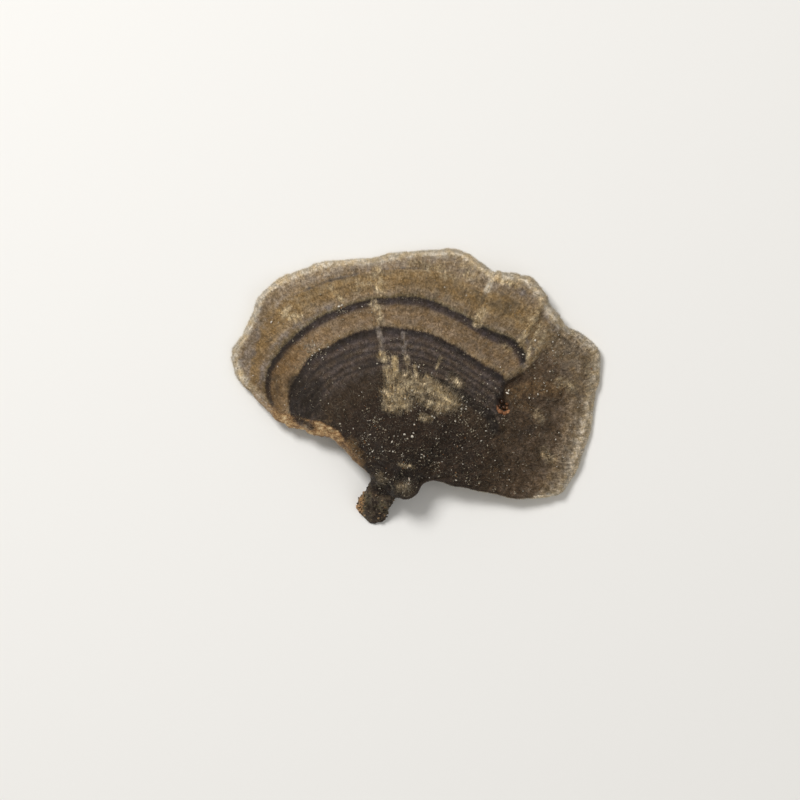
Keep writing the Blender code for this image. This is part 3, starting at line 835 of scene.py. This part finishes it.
def make_dust(ground, shapes, rng):
    """Pale dust on the upper face, thickest round the base and on the lobe, and thin towards the margin."""
    upper = ground.mean(ground.s["upper"])
    at = ground.mean(ground.s["at"])
    thick = bell(np.linalg.norm((at[:, :2] - (2.0, -12.0)) * (0.8, 1.0), axis=1), 11)
    density = upper**3 * (0.15 + 1.4 * thick + 0.16 * ground.mean(ground.s["lobe"]))
    for x, y, radius, thickness in DUST_DRIFTS:
        density = density + upper**3 * thickness * bell(np.hypot(at[:, 0] - x, at[:, 1] - y), radius)
    density = density * (1.02 + lumps(at, 3.0, 34)) * (1.02 + lumps(at, 1.2, 35)) ** 2
    density = density * (ground.mean(ground.s["edge_gap"]) > 0.6) * (ground.mean(ground.s["pit_gap"]) > 1.9)
    spots, normal, facts = ground.pick(DUST_GRAINS, density, rng)
    sizes = 0.05 + 0.16 * rng.random(DUST_GRAINS) ** 4
    large = np.array(LARGE_GRAINS)
    near = ground.under(large)
    spots = np.concatenate([spots, ground.s["at"][near]])
    normal = np.concatenate([normal, ground.s["normal"][near]])
    sizes = np.concatenate([sizes, large[:, 2]])
    facts = {key: np.concatenate([values, ground.facts[key][near]]) for key, values in facts.items()}
    spots = spots + normal * (sizes * 0.4 + 0.12)[:, None]
    return scattered("dust_grains", shapes, spots, sizes, facts, rng, large[:, 3])


STUB_CRUMBS = 900


def make_stub_crumbs(ground, shapes, rng):
    """Crumbs of bark and dried moss that cling to the stub and under the knob."""
    stub = ground.mean(ground.s["stub"])
    high = ground.mean(ground.s["at"])[:, 2]
    spots, normal, facts = ground.pick(STUB_CRUMBS, stub * smooth_step(0.3, 1.2, high), rng)
    sizes = 0.08 + 0.24 * rng.random(STUB_CRUMBS) ** 3
    spots = spots + normal * (sizes * 0.3)[:, None]
    spots[:, 2] = np.maximum(spots[:, 2], sizes * 1.3)
    return scattered("stub_crumbs", shapes, spots, sizes, facts, rng)


# Grains of dried resin in the pit: x, y, half size
PIT_BEADS = [
    (19.2, -4.6, 0.62), (20.4, -4.9, 0.40), (19.6, -5.8, 0.54), (18.7, -5.5, 0.32), (20.5, -6.0, 0.36),
]
# The crescent of orange flesh along the pit's lower edge: lumps that run together, thickest in its middle
CRESCENT_CENTRE = (19.6, -5.75)
CRESCENT_RADIUS = 1.55
CRESCENT_LUMPS = [
    (
        CRESCENT_CENTRE[0] + CRESCENT_RADIUS * math.cos(math.radians(degrees)),
        CRESCENT_CENTRE[1] + CRESCENT_RADIUS * math.sin(math.radians(degrees)),
        0.26 + 0.24 * math.sin(math.radians(degrees - 190) * 180 / 140),
    )
    for degrees in range(190, 331, 10)
]


def make_beads(ground, shapes, rng, name, listed):
    """Rounded lumps set on the skin at the listed places."""
    listed = np.array(listed)
    near = ground.under(listed)
    facts = {key: values[near] for key, values in ground.facts.items()}
    spots = ground.s["at"][near] + ground.s["normal"][near] * (listed[:, 2] * 0.3)[:, None]
    return scattered(name, shapes, spots, listed[:, 2], facts, rng)


def colour(text):
    """A hex colour as Blender's linear values."""
    parts = [int(text[i:i + 2], 16) / 255 for i in (0, 2, 4)]
    return tuple(v / 12.92 if v <= 0.04045 else ((v + 0.055) / 1.055) ** 2.4 for v in parts) + (1.0,)


def node(tree, kind, inputs=(), stops=(), **settings):
    """Adds a node and returns its outputs. Sockets among the inputs are linked and other values are set."""
    made = tree.nodes.new("ShaderNode" + kind)
    for name, value in settings.items():
        setattr(made, name, value)
    for key, value in inputs.items() if isinstance(inputs, dict) else enumerate(inputs):
        if isinstance(value, bpy.types.NodeSocket):
            tree.links.new(value, made.inputs[key])
        else:
            made.inputs[key].default_value = value
    for i, (position, text) in enumerate(stops):
        elements = made.color_ramp.elements
        stop = elements[i] if i < len(elements) else elements.new(position)
        stop.position, stop.color = position, colour(text)
    return made.outputs


def new_material(name):
    """A material with only its output, and its tree."""
    material = bpy.data.materials.new(name)
    material.use_nodes = True
    tree = material.node_tree
    for old in list(tree.nodes):
        tree.nodes.remove(old)
    return material, tree


def finish_material(tree, inputs):
    """Ends a material in one Principled shader."""
    node(tree, "OutputMaterial", {"Surface": node(tree, "BsdfPrincipled", inputs)[0]})


def facts_at_vertices(tree, *names):
    """The three numbers that each vertex stores under each name."""
    stored = [node(tree, "Attribute", attribute_name=name)["Vector"] for name in names]
    return [node(tree, "SeparateXYZ", (place,)) for place in stored]


def frayed(tree, mask, noise, reach, strongest=1.0, low=0.25, high=0.75):
    """A mask whose soft edge is broken up by noise, and how strong it gets inside."""
    shifted = node(tree, "Math", (noise, reach, mask), operation="MULTIPLY_ADD")[0]
    limits = (shifted, low + reach / 2, high + reach / 2, 0.0, strongest)
    return node(tree, "MapRange", limits, interpolation_type="SMOOTHSTEP")[0]


# Colours of the fan's upper face along its growth
FAN_ZONES = [
    (0.000, "251a11"), (0.150, "281d13"), (0.300, "2d2117"), (0.400, "382c20"), (0.455, "3d3228"),
    (0.470, "413831"), (0.488, "544840"), (0.500, "3a322d"), (0.516, "4f443c"), (0.530, "352d29"),
    (0.548, "564a42"), (0.562, "38302c"), (0.580, "5b4f46"), (0.596, "3b3330"), (0.612, "564a42"),
    (0.628, "3f3531"), (0.642, "342d29"), (0.656, "302825"), (0.662, "5a4c3d"), (0.668, "86745b"),
    (0.690, "86725a"), (0.735, "826e55"), (0.757, "7a6750"), (0.770, "4e423c"), (0.784, "423936"),
    (0.798, "38302c"), (0.805, "74674f"), (0.818, "877660"), (0.870, "8b7553"), (0.915, "8f7a5a"),
    (0.945, "8f7f6b"), (1.000, "a89880"),
]
LOBE_ZONES = [
    (0.00, "33261a"), (0.40, "382b20"), (0.52, "423425"), (0.60, "4c3d2e"), (0.68, "584838"), (0.76, "574838"),
    (0.81, "6a5947"), (0.86, "83725c"), (0.90, "8e7e68"), (0.93, "7e6e59"), (0.955, "9a8a73"), (1.0, "b3a58e"),
]
# What lies over the zones: a thin coat, the band beside the cleft, worn streaks, and stains that also carry painted
# shadow round the knob.
# Each has its raggedness and its strength.
THIN_COAT = ("735a39", 0.8, 0.6)
FIBROUS_BAND = ("8d7c62", 0.1, 0.75)
WORN_STREAK = ("776e67", 1.3, 0.62)
STAIN_AND_SHADOW = ("261f19", 0.8, 0.8)
RIM_PALE = "dacdb6"
RIM_EDGE = "e4d9c5"
CREAM_TUFT_AND_HIGHLIGHT = "b09d7c"
CREAM_CORE_AND_HIGHLIGHT = "d6c39b"
DUST_PALE = "94866f"
# Brown of the painted shade in the cleft's gap, the pit and the ochre edge's cracks
PAINTED_SHADE_BROWN = "2a1a0f"
OCHRE_FLESH = [(0.30, "5a4229"), (0.46, "7b5a3a"), (0.58, "af8d61"), (0.72, "e0caa0")]


def upper_colour(tree):
    """Colour of the felted upper face: growth zones, then coats, marks and the pale rim, then felt and dust, then
    painted shade in the cleft's gap, the pit and the ochre edge's cracks.
    """
    chart, parts, coats, marks, wear_and_shade, edge = facts_at_vertices(
        tree, "chart", "parts", "coats", "marks", "wear_and_shade", "edge")
    spoke, reach, growth = chart
    lobe = parts[1]
    rim, band, thin = coats
    pale, grey, dark = marks
    _, dirt, shade = wear_and_shade
    spot = node(tree, "Attribute", attribute_name="spot")["Vector"]
    flow = node(tree, "CombineXYZ", (spoke, reach))[0]
    felt, grit, clumps, drift, streaks, arcs, striae = (
        node(tree, "TexNoise", {
            "Vector": node(tree, "VectorMath", (place, scale), operation="MULTIPLY")[0],
            "Scale": 1.0, "Detail": detail, "Roughness": roughness,
        })[0]
        for place, scale, detail, roughness in (
            (spot, (2.4, 2.4, 2.4), 3, 0.75), (spot, (3.4, 3.4, 3.4), 2, 0.6), (spot, (0.6, 0.6, 0.6), 4, 0.65),
            (spot, (0.14, 0.14, 0.14), 3, 0.6), (flow, (2.2, 0.45, 1), 4, 0.65), (flow, (0.1, 1.6, 1), 3, 0.6),
            (flow, (3.6, 0.3, 1), 2, 0.6),
        )
    )

    # Each growth line wanders a little, and its edge is as fuzzy as the felt
    place = growth
    for noise, swing in ((streaks, 0.012), (drift, 0.022), (felt, 0.008)):
        swung = node(tree, "Math", (noise, swing, -swing / 2), operation="MULTIPLY_ADD")[0]
        place = node(tree, "Math", (place, swung), operation="ADD")[0]
    fan, side = (node(tree, "ValToRGB", (place,), stops)[0] for stops in (FAN_ZONES, LOBE_ZONES))
    layers = [(lobe, side)]
    for mask, (text, raggedness, strength) in (
        (thin, THIN_COAT), (band, FIBROUS_BAND), (grey, WORN_STREAK), (dark, STAIN_AND_SHADOW),
    ):
        layers.append((frayed(tree, mask, clumps, raggedness, strength), colour(text)))
    ragged = clumps
    for noise, weight in ((streaks, 1.0), (striae, 0.7), (grit, 0.3)):
        ragged = node(tree, "Math", (noise, weight, ragged), operation="MULTIPLY_ADD")[0]
    ragged = node(tree, "Math", (ragged, 1 / 3.0), operation="MULTIPLY")[0]
    # The pale marks are cream tufts, and a painted highlight on the knob's small ridge
    tufted = node(tree, "Math", (pale, 2.6), operation="MULTIPLY", use_clamp=True)[0]
    for low, high, tuft in ((-0.05, 0.92, CREAM_TUFT_AND_HIGHLIGHT), (0.56, 1.30, CREAM_CORE_AND_HIGHLIGHT)):
        share = frayed(tree, pale, ragged, 4.6, 0.92, low, high)
        layers.append((node(tree, "Math", (share, tufted), operation="MULTIPLY")[0], colour(tuft)))
    layers.append((frayed(tree, rim, clumps, 0.16, 1.0, 0.04, 0.9), colour(RIM_PALE)))
    outermost = node(tree, "MapRange", (edge[0], 0.8, 0.1), interpolation_type="SMOOTHSTEP")[0]
    grown = node(tree, "Math", (rim, 2.2), operation="MULTIPLY", use_clamp=True)[0]
    outermost = node(tree, "Math", (outermost, grown), operation="MULTIPLY")[0]
    layers.append((frayed(tree, outermost, felt, 0.4), colour(RIM_EDGE)))
    whole = fan
    for share, layer in layers:
        whole = node(tree, "Mix", {0: share, 6: whole, 7: layer}, data_type="RGBA")[2]

    # The felt lightens and darkens it, most where it is dirty
    striped = node(tree, "MapRange", (growth, 0.78, 0.9))[0]
    striped = node(tree, "Math", (striped, lobe), operation="MULTIPLY")[0]
    dirty = node(tree, "Math", (dirt, 0.9), operation="MINIMUM")[0]
    smooth = node(tree, "Math", (rim, -0.7, 1.0), operation="MULTIPLY_ADD")[0]
    coarse = node(tree, "Math", (dirty, 0.9, 0.8), operation="MULTIPLY_ADD")[0]
    coarse = node(tree, "Math", (coarse, smooth), operation="MULTIPLY")[0]
    for noise, weight, low, high in (
        (felt, smooth, -0.38, 0.46), (clumps, coarse, -0.26, 0.28), (streaks, smooth, -0.17, 0.19),
        (arcs, 1.0, -0.16, 0.18), (drift, 1.0, -0.12, 0.12), (grit, dirty, -0.45, 0.55), (striae, striped, -0.2, 0.2),
    ):
        change = node(tree, "MapRange", (noise, 0.28, 0.72, low, high), interpolation_type="SMOOTHSTEP")[0]
        gain = node(tree, "Math", (change, weight, 1.0), operation="MULTIPLY_ADD")[0]
        whole = node(tree, "VectorMath", {0: whole, 3: gain}, operation="SCALE")[0]
    warmth = node(tree, "MapRange", (clumps, 0.35, 0.65), interpolation_type="SMOOTHSTEP")[0]
    tint = node(tree, "Mix", {0: warmth, 6: colour("fff4de"), 7: colour("f3f5fb")}, data_type="RGBA")[2]
    whole = node(tree, "Mix", {0: 1.0, 6: whole, 7: tint}, data_type="RGBA", blend_type="MULTIPLY")[2]
    powder = node(tree, "MapRange", (felt, 0.60, 0.74, 0.0, 0.26), interpolation_type="SMOOTHSTEP")[0]
    powder = node(tree, "Math", (powder, dirty), operation="MULTIPLY")[0]
    # Pale dust powder, then the painted shade of the cleft's gap, the pit and the ochre edge's cracks
    for share, layer in ((powder, DUST_PALE), (shade, PAINTED_SHADE_BROWN)):
        whole = node(tree, "Mix", {0: share, 6: whole, 7: colour(layer)}, data_type="RGBA")[2]
    return whole


PORE_SPACING = 0.3


def pore_layer(tree):
    """Colour and depth of the pore side: cream, tan towards the stub, with round pores a third of a mm apart, painted
    darker as shade in their holes.
    """
    edge, chart = facts_at_vertices(tree, "edge", "chart")
    spot = node(tree, "Attribute", attribute_name="spot")["Vector"]
    cells = node(tree, "TexVoronoi", {"Vector": spot, "Scale": 1 / PORE_SPACING, "Randomness": 0.6})["Distance"]
    patches = node(tree, "TexNoise", {"Vector": spot, "Scale": 1 / 7.0, "Detail": 4})[0]
    pores, poreless, patchy, tan, brown = (
        node(tree, "MapRange", limits, interpolation_type="SMOOTHSTEP")[0]
        for limits in (
            (cells, 0.42, 0.26), (edge[0], 1.6, 0.9), (patches, 0.35, 0.65), (chart[1], 16, 4, 0.0, 0.7),
            (chart[1], 11, 6),
        )
    )
    walls = colour("cdbb94")
    for share, text in ((patchy, "b8a27a"), (tan, "7d6646"), (poreless, "ddd0b3"), (brown, "4a3a29")):
        walls = node(tree, "Mix", {0: share, 6: walls, 7: colour(text)}, data_type="RGBA")[2]
    open_pores = node(tree, "Math", (1.0, poreless), operation="SUBTRACT")[0]
    pores = node(tree, "Math", (pores, open_pores), operation="MULTIPLY")[0]
    # The pores are painted darker brown: painted shade in the pore holes.
    sunk = node(tree, "Math", (pores, 0.75), operation="MULTIPLY")[0]
    return node(tree, "Mix", {0: sunk, 6: walls, 7: colour("7b6444")}, data_type="RGBA")[2], pores


CRUST = [(0.32, "1c150f"), (0.44, "3a2e23"), (0.53, "524637"), (0.60, "585039"), (0.70, "735839"), (0.84, "bd9160")]


def stub_crust(tree):
    """Colour of the stub: dark crust, greenish where moss dried on it, ochre on its torn left side."""
    spot = node(tree, "Attribute", attribute_name="spot")["Vector"]
    across = node(tree, "SeparateXYZ", (spot,))[0]
    coarse, fine = (
        node(tree, "TexNoise", {"Vector": spot, "Scale": 1 / size, "Detail": detail, "Roughness": 0.7})[0]
        for size, detail in ((2.6, 5), (0.5, 3))
    )
    torn = node(tree, "MapRange", (across, -10.8, -12.8, 0.0, 0.26), interpolation_type="SMOOTHSTEP")[0]
    worn = node(tree, "Math", (coarse, torn), operation="ADD")[0]
    crust = node(tree, "ValToRGB", (worn,), CRUST)[0]
    gain = node(tree, "MapRange", (fine, 0.3, 0.7, 0.5, 1.5), interpolation_type="SMOOTHSTEP")[0]
    return node(tree, "VectorMath", {0: crust, 3: gain}, operation="SCALE")[0]


def make_skin_material():
    """Dried flesh: matt felt of matted hyphae above, a thin layer of pores below, crust on the stub.

    It dried slowly in the air, so it is matt all over, and bristly where the felt stands up.
    """
    material, tree = new_material("dried_felted_flesh")
    parts, wear_and_shade = facts_at_vertices(tree, "parts", "wear_and_shade")
    spot = node(tree, "Attribute", attribute_name="spot")["Vector"]
    pore_colour, pores = pore_layer(tree)
    flakes, grit = (
        node(tree, "TexNoise", {"Vector": place, "Scale": 1.0, "Detail": 4, "Roughness": 0.7})[0]
        for place in (node(tree, "VectorMath", (spot, scale), operation="MULTIPLY")[0]
                      for scale in ((0.9, 1.8, 1.8), (2.9, 2.9, 2.9)))
    )
    bright = node(tree, "Math", (wear_and_shade[0], 0.3, -0.22), operation="MULTIPLY_ADD")[0]
    bright = node(tree, "Math", (flakes, bright), operation="ADD")[0]
    flesh = node(tree, "ValToRGB", (bright,), OCHRE_FLESH)[0]
    whole = pore_colour
    for share, layer in (
        (parts[0], upper_colour(tree)), (frayed(tree, wear_and_shade[0], flakes, 0.9, 0.95), flesh), (parts[2], stub_crust(tree)),
    ):
        whole = node(tree, "Mix", {0: share, 6: whole, 7: layer}, data_type="RGBA")[2]
    covered = node(tree, "Math", (parts[0], parts[2]), operation="MAXIMUM")[0]
    bare = node(tree, "Math", (1.0, covered), operation="SUBTRACT")[0]
    sunk = node(tree, "Math", (pores, bare), operation="MULTIPLY")[0]
    height = node(tree, "Math", (sunk, -0.8, grit), operation="MULTIPLY_ADD")[0]
    bump = node(tree, "Bump", {"Height": height, "Strength": 0.9, "Distance": 0.12 * MM})
    finish_material(tree, {
        "Base Color": whole, "Roughness": 0.93, "Specular IOR Level": 0.2, "IOR": 1.45,
        "Sheen Weight": 0.15, "Sheen Roughness": 0.6, "Normal": bump[0],
    })
    return material


def make_hair_material(name, darkest, palest, faded):
    """Fine dry hyphal hairs in the colour of the zone that they grow on, each in its own shade."""
    material, tree = new_material(name)
    (own, along, _), wear_and_shade, coats = facts_at_vertices(tree, "strand", "wear_and_shade", "coats")
    silky = node(tree, "Math", (own, 0.28, 0.39), operation="MULTIPLY_ADD")[0]
    flesh = node(tree, "ValToRGB", (silky,), OCHRE_FLESH)[0]
    whole = upper_colour(tree)
    for share, layer in ((faded, colour("cfc3ac")), (wear_and_shade[0], flesh)):
        whole = node(tree, "Mix", {0: share, 6: whole, 7: layer}, data_type="RGBA")[2]
    uneven = node(tree, "Math", (own, 2.5), operation="POWER")[0]
    smoother = node(tree, "Math", (coats[0], 0.7 * (1 - palest), palest), operation="MULTIPLY_ADD")[0]
    smoother = node(tree, "Math", (wear_and_shade[1], -0.5, smoother), operation="MULTIPLY_ADD")[0]
    for value, low, high in ((uneven, darkest, smoother), (along, 0.85, 1.15)):
        gain = node(tree, "MapRange", (value, 0.0, 1.0, low, high))[0]
        whole = node(tree, "VectorMath", {0: whole, 3: gain}, operation="SCALE")[0]
    finish_material(tree, {"Base Color": whole, "Roughness": 0.75, "Specular IOR Level": 0.3, "IOR": 1.5})
    return material


def make_grain_material(name, stops, roughness, left=-1.0):
    """Dry mineral or woody grains, each in its own shade; if left is below -1, those further left are nearer the last
    one.
    """
    material, tree = new_material(name)
    strand, spot = facts_at_vertices(tree, "strand", "spot")
    torn = node(tree, "MapRange", (spot[0], left - 1.5, left - 4.0, 0.0, 0.35), interpolation_type="SMOOTHSTEP")[0]
    own = node(tree, "Math", (strand[0], torn), operation="ADD")[0] if left < -1 else strand[0]
    shade = node(tree, "ValToRGB", (own,), stops)[0]
    finish_material(tree, {"Base Color": shade, "Roughness": roughness, "Specular IOR Level": 0.35})
    return material


def dress(piece, material):
    """Gives a piece its one material and says what it rides on."""
    piece.data.materials.append(material)
    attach(piece, BODY)


TABLE_SIZE = 4.0
CAMERA_ELEVATION_DEG = 81
CAMERA_DISTANCE = 1.2
VIEW_WIDTH = 0.180
VIEW_CENTRE = (-0.00349, -0.00295, 0.0)


def make_table():
    bpy.ops.object.select_all(action="DESELECT")
    bpy.ops.mesh.primitive_plane_add(size=TABLE_SIZE, location=(0, 0, 0))
    table = bpy.context.object
    table.name = "table"
    material, tree = new_material("pale_matt_table")
    finish_material(tree, {"Base Color": colour("eceae6"), "Roughness": 0.9})
    table.data.materials.append(material)


def make_camera():
    camera = bpy.data.objects.new("camera", bpy.data.cameras.new("camera"))
    bpy.context.scene.collection.objects.link(camera)
    elevation = math.radians(CAMERA_ELEVATION_DEG)
    back = Vector((0, -math.cos(elevation), math.sin(elevation)))
    camera.location = Vector(VIEW_CENTRE) + back * CAMERA_DISTANCE
    camera.rotation_euler = (math.radians(90 - CAMERA_ELEVATION_DEG), 0, 0)
    camera.data.sensor_width = 36
    camera.data.lens = 36 * CAMERA_DISTANCE / VIEW_WIDTH
    camera.data.clip_start = 0.01
    bpy.context.scene.camera = camera


def add_softbox(name, location, size, power):
    """A square lamp that faces the middle of the table."""
    lamp = bpy.data.lights.new(name, "AREA")
    lamp.size = size
    lamp.energy = power
    thing = bpy.data.objects.new(name, lamp)
    thing.location = location
    thing.rotation_euler = Vector(location).to_track_quat("Z", "Y").to_euler()
    bpy.context.scene.collection.objects.link(thing)


def light_studio():
    add_softbox("key_softbox", (-0.40, 0.42, 0.78), 0.34, 7.4)
    add_softbox("fill_softbox", (0.6, -0.4, 0.8), 0.9, 2.0)
    world = bpy.data.worlds.new("studio")
    world.use_nodes = True
    world.node_tree.nodes["Background"].inputs["Color"].default_value = colour("f4f3f0")
    world.node_tree.nodes["Background"].inputs["Strength"].default_value = 0.36
    scene = bpy.context.scene
    scene.world = world
    scene.view_settings.view_transform = "Standard"
    scene.view_settings.look = "None"


def make_bracket():
    skin = remeshed_copy(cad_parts["bracket"])
    s = shape_skin(skin)
    facts = surface_facts(s)
    store(skin.data, facts)
    dress(skin, make_skin_material())
    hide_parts("bracket")

    ground = Ground(skin, s, facts)
    rng = np.random.default_rng(7)
    hair = make_hair_material("dry_hyphal_hairs", 0.68, 2.0, 0.0)
    for piece in make_nap(ground, rng):
        dress(piece, hair)
    dress(make_rim_fringe(ground, rng), make_hair_material("pale_margin_hairs", 0.75, 1.6, 0.35))
    dress(make_loose_fibres(ground, rng), make_hair_material("loose_pale_fibres", 0.7, 1.6, 0.22))
    shapes = [modelled_grain(seed) for seed in (1, 2, 3)]
    dust_stops = [(0.0, "6f6453"), (0.4, "978b75"), (0.75, "ada18b"), (0.94, "e2dacb"), (0.965, "7d5430"), (1.0, "9a6a3c")]
    dress(make_dust(ground, shapes, rng), make_grain_material("pale_dust", dust_stops, 0.8))
    crumb_stops = [(0.0, "1e1711"), (0.45, "3d3125"), (0.72, "544a3a"), (0.88, "726756"), (1.0, "94795a")]
    crumbs = make_stub_crumbs(ground, shapes, rng)
    dress(crumbs, make_grain_material("bark_and_moss_crumbs", crumb_stops, 0.95, -8.8))
    beads = [modelled_grain(seed, 2, 0.12, 0.85) for seed in (4, 5, 6)]
    orange_stops = [(0.0, "6b4429"), (0.6, "8b5c3a"), (1.0, "b3825c")]
    crumbs = make_beads(ground, beads, rng, "pit_crumbs", CRESCENT_LUMPS)
    dress(crumbs, make_grain_material("orange_crumbs", orange_stops, 0.55))
    amber_stops = [(0.0, "2e1d12"), (0.5, "573721"), (0.85, "7c583a"), (1.0, "a88a70")]
    amber = make_beads(ground, beads, rng, "pit_grains", PIT_BEADS)
    dress(amber, make_grain_material("resin_grains", amber_stops, 0.12))
    return skin


make_camera()
make_table()
light_studio()
make_bracket()
